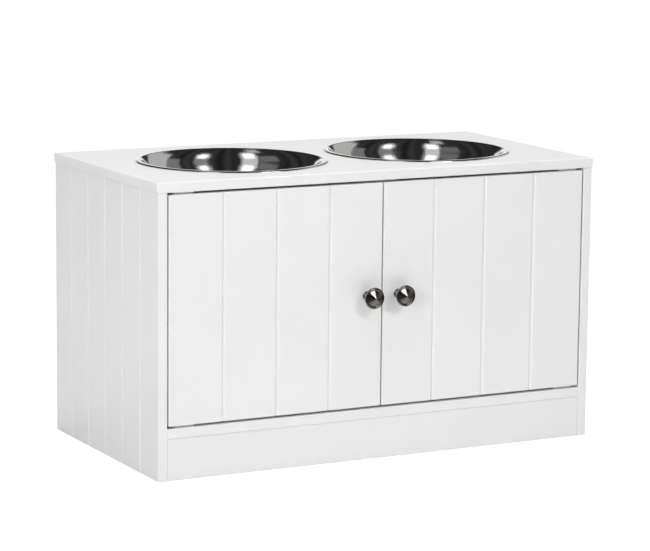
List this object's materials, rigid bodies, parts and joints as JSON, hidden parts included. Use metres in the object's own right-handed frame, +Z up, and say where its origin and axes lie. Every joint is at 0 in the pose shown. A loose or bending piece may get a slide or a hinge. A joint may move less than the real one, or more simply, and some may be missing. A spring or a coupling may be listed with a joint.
{
  "type": "elevated dog feeder with storage",
  "caption": "Low white cabinet on a plinth with hinged planked doors and round knobs; lift-out steel bowls hang in the top for raised feeding, over a storage space.",
  "frame": {"origin": "centre of the bounding box on the floor, knobs and bowl rims included", "axes": "+X to the right along the width, +Y from the doors to the back, +Z up; the doors face -Y"},
  "size_m": [0.6, 0.3384, 0.3588],
  "materials": {
    "painted_board": "white satin paint on fibreboard",
    "painted_door": "white satin paint on fibreboard",
    "back_board": "white lacquered hardboard",
    "zinc_plated_steel": "bright zinc plating",
    "dark_nickel": "polished dark nickel",
    "stainless_steel": "mirror-polished stainless steel",
    "catch_plastic": "moulded white plastic",
    "ferrite": "pressed ferrite magnet",
    "beech": "bare beech"
  },
  "bodies": {
    "cabinet": {"top_panel": "painted_board", "side_panel_left": "painted_board", "side_panel_right": "painted_board", "bottom_panel": "painted_board", "plinth_front": "painted_board", "plinth_rear": "painted_board", "back_panel": "back_board", "cam_locks": "zinc_plated_steel", "cam_bolts": "zinc_plated_steel", "dowels": "beech", "frame_leaf_upper_left": "zinc_plated_steel", "frame_leaf_lower_left": "zinc_plated_steel", "frame_leaf_upper_right": "zinc_plated_steel", "frame_leaf_lower_right": "zinc_plated_steel", "hinge_pins": "zinc_plated_steel", "hinge_washers": "zinc_plated_steel", "frame_leaf_screws": "zinc_plated_steel", "catch_housing": "catch_plastic", "catch_magnets": "ferrite", "catch_pole_plates": "zinc_plated_steel", "catch_screws": "zinc_plated_steel"},
    "door_left": {"door_left": "painted_door", "door_leaf_upper_left": "zinc_plated_steel", "door_leaf_lower_left": "zinc_plated_steel", "door_leaf_screws_left": "zinc_plated_steel", "knob_left": "dark_nickel", "knob_screw_left": "zinc_plated_steel", "strike_disc_left": "zinc_plated_steel", "strike_screw_left": "zinc_plated_steel"},
    "door_right": {"door_right": "painted_door", "door_leaf_upper_right": "zinc_plated_steel", "door_leaf_lower_right": "zinc_plated_steel", "door_leaf_screws_right": "zinc_plated_steel", "knob_right": "dark_nickel", "knob_screw_right": "zinc_plated_steel", "strike_disc_right": "zinc_plated_steel", "strike_screw_right": "zinc_plated_steel"},
    "bowl_left": {"bowl_left": "stainless_steel"},
    "bowl_right": {"bowl_right": "stainless_steel"}
  },
  "joints": [
    {"name": "door_left_swing", "type": "hinge", "parent": "cabinet", "child": "door_left", "pos_m": [-0.2725, -0.13875, 0.2035], "axis": [0, 0, -1], "range_deg": [0, 130]},
    {"name": "door_right_swing", "type": "hinge", "parent": "cabinet", "child": "door_right", "pos_m": [0.2725, -0.13875, 0.2035], "axis": [0, 0, 1], "range_deg": [0, 130]},
    {"name": "bowl_left_lift", "type": "slide", "parent": "cabinet", "child": "bowl_left", "axis": [0, 0, 1], "range_m": [0, 0.08]},
    {"name": "bowl_right_lift", "type": "slide", "parent": "cabinet", "child": "bowl_right", "axis": [0, 0, 1], "range_m": [0, 0.08]}
  ]
}
